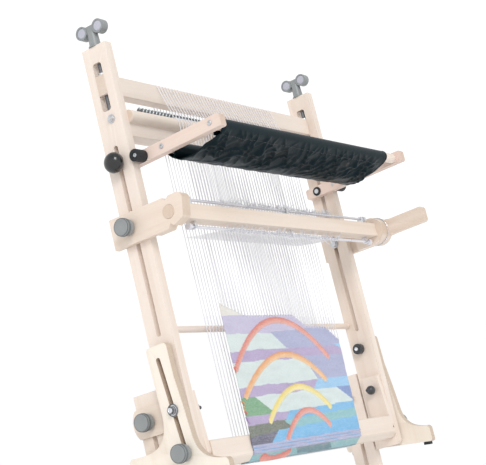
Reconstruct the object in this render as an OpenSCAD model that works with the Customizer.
// Upright tapestry loom on a leaning two-post stand.
// Units are millimetres. +X is the weaver's right, the weaver sits on the -Y side, +Z is up.
// The loom leans back; its own parts are drawn in the loom's plane as (n, z):
// n is the distance forward of the uprights' rear face, z the height along the uprights.

/* [Loom frame] */
// Backward lean of loom and posts, degrees
lean = 17.2; // [5:0.1:30]
// Half the distance over the uprights' outer faces
half = 344; // [250:1:450]
// Upright board width
up_w = 54; // [40:1:70]
// Upright board thickness
up_t = 18; // [14:1:24]
// Upright length
up_h = 776; // [600:1:900]
// Height of the uprights' foot above the floor
base_z = 540; // [420:1:700]

/* [Tension beam] */
// Beam height
beam_h = 36; // [28:1:48]
// Beam centre along the uprights
beam_z = 703; // [690:1:712]
// Mortise length
mort_h = 90; // [70:1:110]
// Mortise width
mort_w = 19; // [16:0.5:24]

/* [Slots] */
// Slot width in the uprights and posts
slot_w = 9; // [8.4:0.1:12]
// Lower end of the uprights' long slot
slot_lo = 247; // [200:1:300]
// Upper end of the uprights' long slot
slot_hi = 590; // [560:1:596]

/* [Yarn trough] */
// Trough stud height along the uprights
tr_z = 557.5; // [540:0.5:575]
// Trough arm thickness
tr_t = 16; // [12:1:20]
// Reach of the front dowel
tr_front = 214; // [180:1:260]

/* [Shedding device] */
// Pivot height along the uprights
sh_z = 439.5; // [420:0.5:480]
// Pivot distance in front of the uprights' rear face
sh_n = 112.6; // [90:0.1:140]
// Shed arm thickness
sh_t = 12; // [9:1:18]

/* [Warp and weaving] */
// Left edge of the warp
warp_l = -197; // [-280:1:-60]
// Right edge of the warp
warp_r = 187; // [60:1:280]
// Top of the woven part
weave_top = 270; // [120:1:380]

/* [Hidden] */
oy = -15;
cn = 26;                 // centre line of mortises and slots
in_x = half - up_t;      // uprights' inner face
rod_d = 8;
post_z1 = 163;
post_n0 = -58;
post_n1 = -4;
floor_top = 45;
post_cn = -31;
clamp_z = 114;
cl_t = 4;                // clamp plate thickness
fp_x0 = half + cl_t + 0.3;
fp_x1 = fp_x0 + 13.7;
fb_n = 34;
fb_z = 119;
fk_n = 40.5;
fk_z = 46;
tr_in = in_x - 0.3 - tr_t;
sh_blk = 10;             // extra thickness of the shed arms in front of the uprights
arm_x0 = half + 0.3;
arm_x1 = arm_x0 + sh_t;
c = cos(lean);
s = sin(lean);
$fn = 48;

// ---- frames and helpers ----
module loom() { translate([0, oy, base_z]) rotate([-lean, 0, 0]) children(); }
module side(k) { if (k > 0) children(); else mirror([1, 0, 0]) children(); }
// profile points are [n, z]; the slab runs from x0 to x1
module slab(x0, x1, pts) {
    translate([x0, 0, 0]) rotate([90, 0, 90])
        linear_extrude(x1 - x0) polygon([for (p = pts) [-p[0], p[1]]]);
}
module cx(x0, x1, n, z, d, f = 48) {
    translate([x0, -n, z]) rotate([0, 90, 0]) cylinder(d = d, h = x1 - x0, $fn = f);
}
// rounded stretches of an outline: a circular arc, and a cubic curve
function arc(n, z, r, a0, a1, k = 6) =
    [for (i = [0 : k]) let (a = a0 + (a1 - a0)*i/k) [n + r*cos(a), z + r*sin(a)]];
function bez(p, q, r, t, k = 8) =
    [for (i = [0 : k]) let (f = i/k, g = 1 - f) g*g*g*p + 3*g*g*f*q + 3*g*f*f*r + f*f*f*t];
module boxn(x0, x1, n0, n1, z0, z1) { translate([x0, -n1, z0]) cube([x1 - x0, n1 - n0, z1 - z0]); }
module slotx(x0, x1, n, z0, z1, w) {
    cx(x0, x1, n, z0 + w/2, w);
    cx(x0, x1, n, z1 - w/2, w);
    boxn(x0, x1, n - w/2, n + w/2, z0 + w/2, z1 - w/2);
}
// stepped clamping knob on a stud along +X; x0 is the face it bears on
module knob(x0, n, z, d = 31) {
    difference() {
        translate([x0, -n, z]) rotate([0, 90, 0]) rotate_extrude($fn = 48)
            polygon([[0, 0], [9, 0], [9, 2.5], [d*0.44, 3.5], [d*0.47, 5.5], [d*0.47, 10.5], [d*0.44, 11.3],
                [d*0.44, 12.5], [d*0.485, 13.3], [d/2, 15], [d/2, 21], [d*0.47, 23.4], [d*0.41, 24.2],
                [d*0.38, 23.6], [0, 23.2]]);
        cx(x0 - 1, x0 + 16, n, z, 8.6);
    }
}
module dome_knob(x0, n, z, d) {
    difference() {
        translate([x0, -n, z]) rotate([0, 90, 0]) rotate_extrude($fn = 48)
            polygon(concat([[0, 0], [10, 0], [10, 2], [d*0.37, 4.5], [d*0.47, 9], [d/2, 15]],
                [for (a = [15 : 15 : 75]) [d/2*cos(a), 15 + 15*sin(a)]], [[0, 30]]));
        cx(x0 - 1, x0 + 20, n, z, 8.6);
    }
}
module bolt_head(x0, n, z, d, h, w = 5) {
    cx(x0, x0 + 1.5, n, z, d + w);
    cx(x0 + 1.5, x0 + 1.5 + h*0.6, n, z, d);
    cx(x0 + 1.5 + h*0.6, x0 + 1.5 + h, n, z, d*0.7);
}

// ---- stand ----
function pz(n, zz) = (zz - base_z - n*s)/c;
module post(k) {
    loom() side(k) difference() {
        slab(in_x + 0.3, half - 0.3, [[post_n0, pz(post_n0, floor_top)], [post_n0, post_z1],
            [post_n1, post_z1], [post_n1, pz(post_n1, floor_top)]]);
        slotx(in_x - 1, half + 1, post_cn, -170, 131, slot_w);
    }
}
module floor_foot(k) {
    side(k) translate([in_x - 9, 0, 0]) rotate([90, 0, 90]) linear_extrude(36)
        polygon([[-315, 4], [-315, 30], [-300, 41], [-285, floor_top], [285, floor_top], [300, 41],
            [315, 30], [315, 4], [250, 4], [235, 14], [-235, 14], [-250, 4]]);
}
module brace(k) {
    p1 = [oy - 190*s - post_n0*c, base_z - 190*c + post_n0*s];
    p2 = [oy - 250*s - post_n0*c, base_z - 250*c + post_n0*s];
    side(k) translate([in_x + 0.3, 0, 0]) rotate([90, 0, 90]) linear_extrude(up_t - 0.6)
        polygon([p1, [198, floor_top], [140, floor_top], p2]);
}
module stretcher_lower() { loom() boxn(-in_x - 0.3, in_x + 0.3, -40, -22, -440, -386); }
module stretcher_rear() { translate([-in_x + 9, 222, 18]) cube([2*in_x - 18, 60, 20]); }
module foot_pads() {
    for (x = [-1, 1], y = [-1, 1]) translate([x*(half - 9), y*282, 0]) cylinder(d = 28, h = 4);
}
module stand_bolts() {
    loom() for (k = [-1, 1]) side(k) for (z = [-427, -399]) bolt_head(half - 0.3, post_cn, z, 11, 5);
}

// ---- loom frame ----
module upright(k) {
    loom() side(k) difference() {
        slab(in_x, half, [[0, 0], [0, up_h], [up_w, up_h], [up_w, 6], [up_w - 6, 0]]);
        boxn(in_x - 1, half + 1, cn - mort_w/2, cn + mort_w/2, 660, 650 + mort_h);
        boxn(in_x - 1, half + 1, cn - mort_w/2 + 5, cn + mort_w/2 - 5, 655, 655 + mort_h);
        for (q = [-1, 1], z = [660, 650 + mort_h]) cx(in_x - 1, half + 1, cn + q*(mort_w/2 - 5), z, 10);
        slotx(in_x - 1, half + 1, cn, slot_lo, slot_hi, slot_w);
        translate([half - 9, -cn, 654 + mort_h]) cylinder(d = 8.4, h = 40);
        translate([half - 9, -cn, 646]) cylinder(d = 8.4, h = 12);
        cx(in_x - 1, half + 1, 31, 638.5, 8);
        cx(in_x - 1, half + 1, fb_n, fb_z, 8);
        cx(in_x - 1, half + 1, fk_n, fk_z, 8);
        cx(in_x - 1, in_x + 9, 22, 210, 8);
    }
}
module spacing_bar() {
    loom() slab(-in_x, in_x, concat([[20, 602], [20, 649]], arc(53, 637, 12, 90, -90, 14),
        [[51, 624], [51, 602]]));
}
module warp_spring() {
    loom() difference() { cx(-288, 288, 50, 654.2, 10); cx(-289, 289, 50, 654.2, 7.6); }
}
module cross_dowel() { loom() cx(-in_x, in_x, 6.5, 264, 12); }
module bottom_beam() {
    loom() {
        slab(-in_x + 12, in_x - 12, [[18, 60], [55, 60], [58, 57], [58, 27], [56, 24], [46, 15.6], [43, 15],
            [18, 15]]);
        for (k = [-1, 1]) side(k) slab(in_x - 12, in_x, [[18, 34], [58, 34], [58, 27], [56, 24],
            [46, 15.6], [43, 15], [18, 15]]);
    }
}
module bracket(k) {
    loom() side(k) difference() {
        slab(in_x - 12, in_x, concat([[12, 147], [50, 147]], arc(48, 43.5, 8, 5, -95), [[13, 69]]));
        cx(in_x - 13, in_x + 1, fb_n, fb_z, 8);
    }
}
module clamp_plate(k) {
    loom() side(k) difference() {
        union() {
            intersection() {
                cx(half, half + cl_t, post_cn, clamp_z, 74);
                boxn(half, half + cl_t, post_cn - 40, 0, clamp_z - 25, clamp_z + 25);
            }
            boxn(half, half + cl_t, -6, 48, clamp_z - 17, clamp_z + 20);
        }
        cx(half - 1, half + cl_t + 1, post_cn, clamp_z, 8);
        cx(half - 1, half + cl_t + 1, fb_n, fb_z, 8);
    }
}
module frame_bolts() {
    loom() for (k = [-1, 1]) side(k) {
        cx(in_x, half, 31, 638.5, 8);
        bolt_head(half, 31, 638.5, 11, 5);
        cx(in_x - 12, fp_x1 + 0.3, fb_n, fb_z, 8);
        bolt_head(fp_x1 + 0.3, fb_n, fb_z, 14, 6.5, 8);
        cx(in_x - 5, in_x, post_cn, clamp_z, 18);
        cx(in_x, half + cl_t + 14, post_cn, clamp_z, 8);
        cx(in_x + 6, fp_x1 + 14, fk_n, fk_z, 8);
    }
}
module ball_nuts() {
    loom() for (k = [-1, 1]) side(k) {
        translate([in_x - 22, -fb_n, fb_z]) sphere(d = 19, $fn = 32);
        cx(in_x - 38, in_x - 21, fb_n, fb_z, 6.4, 24);
    }
}
module inner_knobs() {
    loom() for (k = [-1, 1]) side(k) {
        cx(in_x - 13, in_x, 22, 210, 22);
        cx(in_x - 15.5, in_x - 13, 22, 210, 12);
        cx(in_x, in_x + 8, 22, 210, 8);
    }
}
module tapestry() {
    loom() slab(-200, 180, [[63, weave_top], [61, 60], [61, 25], [46, 12], [28, 11.8], [28, 13.8],
        [45.2, 14], [59, 25.6], [59, 57], [60.8, weave_top]]);
}
module warp_front() {
    loom() slab(warp_l, warp_r, [[26, 723.8], [37, 723.6], [57, 659.5], [64.6, 646.5], [66.6, 638],
        [66.4, 626], [61.9, weave_top + 1], [61.1, weave_top + 1], [65.6, 626], [65.7, 638],
        [63.8, 646.2], [56.2, 659.3], [36.4, 722.8], [26, 722.8]]);
}
module warp_back() {
    loom() slab(warp_l, warp_r, [[26, 723.8], [14.6, 723.6], [16, 13], [17, 13], [15.6, 722.8],
        [26, 722.8]]);
}

// ---- tension beam and handles ----
module top_beam() {
    loom() difference() {
        union() {
            boxn(-in_x + 0.5, in_x - 0.5, cn - 10, cn + 10, beam_z - beam_h/2, beam_z + beam_h/2);
            boxn(-half - 0.8, half + 0.8, cn - mort_w/2 + 0.3, cn + mort_w/2 - 0.3,
                beam_z - beam_h/2, beam_z + beam_h/2);
        }
        for (x = [-1, 1]) translate([x*(half - 9), -cn, 650]) cylinder(d = 8.4, h = 100);
    }
}
module beam_nuts() {
    loom() for (x = [-1, 1]) translate([x*(half - 9), -cn, beam_z + beam_h/2]) difference() {
        union() { cylinder(d = 17, h = 1.5); translate([0, 0, 1.5]) cylinder(d = 14, h = 4, $fn = 6); }
        translate([0, 0, -1]) cylinder(d = 8.6, h = 10);
    }
}
module t_handle(k) {
    loom() side(k) translate([half - 9, -cn, up_h + 0.3]) {
        cylinder(d = 25, h = 2);
        translate([0, 0, 2]) cylinder(d1 = 21, d2 = 18, h = 27);
        translate([-7, -19, 26]) cube([14, 38, 14]);
        for (q = [-1, 1]) translate([0, q*19, 33]) rotate([0, 90, 0]) translate([0, 0, -8]) difference() {
            cylinder(d = 25, h = 16);
            for (t = [-1, 14.8]) translate([0, 0, t]) cylinder(d = 19, h = 2.2);
        }
    }
}
module tension_rod(k) {
    loom() side(k) translate([half - 9, -cn, 648]) cylinder(d = rod_d, h = up_h + 0.3 - 648);
}

// ---- yarn trough ----
module trough_arm(k) {
    loom() side(k) difference() {
        slab(tr_in, in_x - 0.3, concat([[-1, 549], [-1, 565], [2, 568]], arc(232, 569.5, 4, 92, 0),
            arc(233, 554, 3, 0, -92), [[2, 546]]));
        cx(tr_in - 1, in_x, cn, tr_z, 8);
        cx(tr_in - 1, tr_in + 10, 108, 561, 20.2);
        cx(tr_in - 1, tr_in + 10, tr_front, 562.5, 20.2);
    }
}
module trough_dowel(n, z) { loom() cx(-tr_in - 10, tr_in + 10, n, z, 20); }
module trough_bumpers() {
    loom() for (k = [-1, 1]) side(k) {
        difference() {
            cx(in_x - 0.3, in_x + 24, 65.4, 558, 22);
            cx(in_x + 20, in_x + 25, 65.4, 558, 9);
        }
        cx(tr_in - 1.5, tr_in, cn, tr_z, 19);
    }
}
module trough_screws() {
    loom() for (k = [-1, 1]) side(k) {
        cx(in_x - 0.3, in_x + 2, 108, 561, 9);
        cx(in_x - 0.3, in_x + 2, tr_front, 562.5, 9);
        cx(in_x + 20, in_x + 23, 65.4, 558, 9);
        cx(tr_in - 1, tr_in, 65.4, 558, 6);
    }
}
module trough_studs() {
    loom() for (k = [-1, 1]) side(k) {
        cx(tr_in - 3, tr_in - 1.5, cn, tr_z, 10);
        cx(tr_in, half + 18, cn, tr_z, 8);
    }
}
module trough_sling() {
    loom() difference() {
        union() {
            cx(-303, 270, 108, 561, 24);
            cx(-303, 270, tr_front, 562.5, 24);
            slab(-303, 270, concat(bez([96.2, 559], [104, 534], [128, 530.5], [146, 530.7]),
                bez([146, 530.7], [175, 531], [212, 541], [225, 557]),
                bez([221, 559], [209, 543], [174, 533], [146, 532.9]),
                bez([146, 532.9], [128, 532.7], [108, 537], [100, 556])));
        }
        cx(-304, 271, 108, 561, 20);
        cx(-304, 271, tr_front, 562.5, 20);
    }
}
module trough_knob(k) { loom() side(k) dome_knob(half + 0.3, cn, tr_z, 37); }

// ---- shedding device ----
module shed_arm(k) {
    nose = k < 0 ? concat([[104, 466], [111, 460], [118, 466]], arc(134, 454, 12, 90, -5),
        arc(131.5, 429, 9, -15, -75), [[118, 414], [111, 419], [104, 411]])
        : concat([[sh_n - 2, 467.5]], arc(sh_n, sh_z, 28, 90, -90, 20), [[sh_n - 2, 411.5]]);
    loom() side(k) difference() {
        union() {
            slab(arm_x0, arm_x1, concat([[-15, 411], [-15, 466]], nose));
            slab(arm_x0 - sh_blk, arm_x0 + 0.1, concat([[72, 411], [72, 466]], nose));
        }
        cx(arm_x0 - sh_blk - 1, arm_x1 + 1, sh_n, sh_z, 24.6);
        cx(arm_x0 - 1, arm_x1 + 1, cn, sh_z, 8);
    }
}
module shed_studs() {
    loom() for (k = [-1, 1]) side(k) {
        cx(in_x - 2, in_x - 0.3, cn, sh_z, 18);
        cx(in_x - 8, in_x - 2, cn, sh_z, 14, 6);
        cx(in_x - 0.3, arm_x1 + 14, cn, sh_z, 8);
    }
}
module shed_knob(k) { loom() side(k) knob(arm_x1 + 0.3, cn, sh_z); }
module shed_bar() {
    sq = arm_x0 - sh_blk - 0.3;
    loom() {
        boxn(-sq, sq, sh_n - 13.5, sh_n + 13.5, sh_z - 13.5, sh_z + 13.5);
        cx(-arm_x1 - 1, -sq, sh_n, sh_z, 24);
        cx(sq, arm_x1 + 18, sh_n, sh_z, 24);
    }
}
module shed_handle() {
    loom() difference() {
        union() {
            cx(arm_x1 + 0.6, arm_x1 + 18, sh_n, sh_z, 58, 64);
            slab(arm_x1 + 4, arm_x1 + 18, concat([[sh_n, 424], [142, 424], [148, 424.6]],
                arc(222, 432, 6, -90, 0), arc(221, 452, 7, 0, 90), [[148, 457.6], [142, 459], [sh_n, 459]]));
        }
        cx(arm_x1, arm_x1 + 19, sh_n, sh_z, 24);
    }
}
module heddle_rods() {
    loom() for (z = [sh_z + 26, sh_z - 23]) {
        cx(-304, 320, 111, z, 5, 24);
        for (x = [-309, 314]) cx(x, x + 7, 111, z, 12, 24);
    }
}
module rod_brackets() {
    loom() difference() {
        for (x = [-294, 14, 300]) {
            boxn(x, x + 5, 106, 116, sh_z + 13.5, sh_z + 30);
            boxn(x, x + 5, 106, 116, sh_z - 27, sh_z - 13.5);
        }
        for (z = [sh_z + 26, sh_z - 23]) cx(-330, 330, 111, z, 5, 24);
    }
}
module string_heddles() {
    loom() for (i = [0 : 17]) for (q = [[26, 452], [-23, 430]]) {
        x = warp_l + 12 + i*21;
        a = [x, -108.1, sh_z + q[0]];
        b = [x + (q[0] > 0 ? 4 : -4), -66.8, q[1]];
        d = b - a;
        l = norm(d);
        translate(a) rotate([0, acos(d[2]/l), atan2(d[1], d[0])]) cylinder(d = 1.4, h = l, $fn = 6);
    }
}

// ---- foot plates ----
module foot_plate(k) {
    loom() side(k) difference() {
        slab(fp_x0, fp_x1, concat(arc(12, 224, 7, 180, 90), arc(42, 225, 7, 90, 0), [[50, 172], [55, 127]],
            bez([60, 68], [64, 40], [80, 27], [111, 22.5], 12), arc(112, 15, 7.5, 90, 0),
            arc(114.5, -6, 5, 0, -90), arc(-75, 16, 7, -97, -180), arc(-73.5, 53, 8, 180, 90),
            bez([-60, 60.5], [-15, 57], [8, 72], [8.5, 115], 12), [[7, 160]]));
        cx(fp_x0 - 1, fp_x1 + 1, 26, 206, slot_w);
        cx(fp_x0 - 1, fp_x1 + 1, fk_n, fk_z, slot_w);
        translate([fp_x0 - 1, -33.25, 126]) rotate([-5.18, 0, 0])
            translate([0, -slot_w/2, -80.33]) cube([fp_x1 - fp_x0 + 2, slot_w, 160.66]);
    }
}
module foot_rubbers(k) {
    loom() side(k) {
        slab(fp_x0 + 1, fp_x1 - 1, [[98, -9.4], [112, -10.8], [111.4, -16.8], [97.4, -15.4]]);
        slab(fp_x0 + 1, fp_x1 - 1, [[-72, 8.4], [-58, 7], [-58.6, 1], [-72.6, 2.4]]);
    }
}
module foot_knob(k) { loom() side(k) knob(fp_x1 + 0.3, fk_n, fk_z); }
module post_knob(k) { loom() side(k) knob(half + cl_t + 0.3, post_cn, clamp_z); }

maple = [0.93, 0.87, 0.8];
ply = [0.86, 0.79, 0.66];
grey = [0.5, 0.52, 0.53];
black = [0.06, 0.06, 0.07];
steel = [0.72, 0.73, 0.75];

color(maple) post(-1);  // post_left
color(maple) post(1);  // post_right
color(maple) floor_foot(-1);  // floor_foot_left
color(maple) floor_foot(1);  // floor_foot_right
color(maple) brace(-1);  // brace_left
color(maple) brace(1);  // brace_right
color(maple) stretcher_lower();
color(maple) stretcher_rear();
color(black) foot_pads();
color(steel) stand_bolts();
color(maple) upright(-1);  // upright_left
color(maple) upright(1);  // upright_right
color(maple) spacing_bar();
color(grey) warp_spring();
color(maple) cross_dowel();
color(maple) bottom_beam();
color(maple) bracket(-1);  // bracket_left
color(maple) bracket(1);  // bracket_right
color(ply) clamp_plate(-1);  // clamp_plate_left
color(ply) clamp_plate(1);  // clamp_plate_right
color(steel) frame_bolts();
color(black) ball_nuts();
color(black) inner_knobs();
color([0.45, 0.4, 0.7]) tapestry();
color([0.95, 0.94, 0.93]) warp_front();
color([0.95, 0.94, 0.93]) warp_back();
color(maple) top_beam();
color(steel) beam_nuts();
color(grey) t_handle(-1);  // t_handle_left
color(grey) t_handle(1);  // t_handle_right
color(grey) tension_rod(-1);  // tension_rod_left
color(grey) tension_rod(1);  // tension_rod_right
color(maple) trough_arm(-1);  // trough_arm_left
color(maple) trough_arm(1);  // trough_arm_right
color(maple) trough_dowel(tr_front, 562.5);  // trough_dowel_front
color(maple) trough_dowel(108, 561);  // trough_dowel_rear
color(black) trough_bumpers();
color(steel) trough_screws();
color(steel) trough_studs();
color(black) trough_sling();
color(black) trough_knob(-1);  // trough_knob_left
color(black) trough_knob(1);  // trough_knob_right
color(maple) shed_arm(-1);  // shed_arm_left
color(maple) shed_arm(1);  // shed_arm_right
color(steel) shed_studs();
color(grey) shed_knob(-1);  // shed_knob_left
color(grey) shed_knob(1);  // shed_knob_right
color(maple) shed_bar();
color(maple) shed_handle();
color(steel) heddle_rods();
color(grey) rod_brackets();
color([0.95, 0.95, 0.94]) string_heddles();
color(ply) foot_plate(-1);  // foot_plate_left
color(ply) foot_plate(1);  // foot_plate_right
color(grey) foot_knob(-1);  // foot_knob_left
color(grey) foot_knob(1);  // foot_knob_right
color(black) foot_rubbers(-1);  // foot_rubbers_left
color(black) foot_rubbers(1);  // foot_rubbers_right
color(grey) post_knob(-1);  // post_knob_left
color(grey) post_knob(1);  // post_knob_right
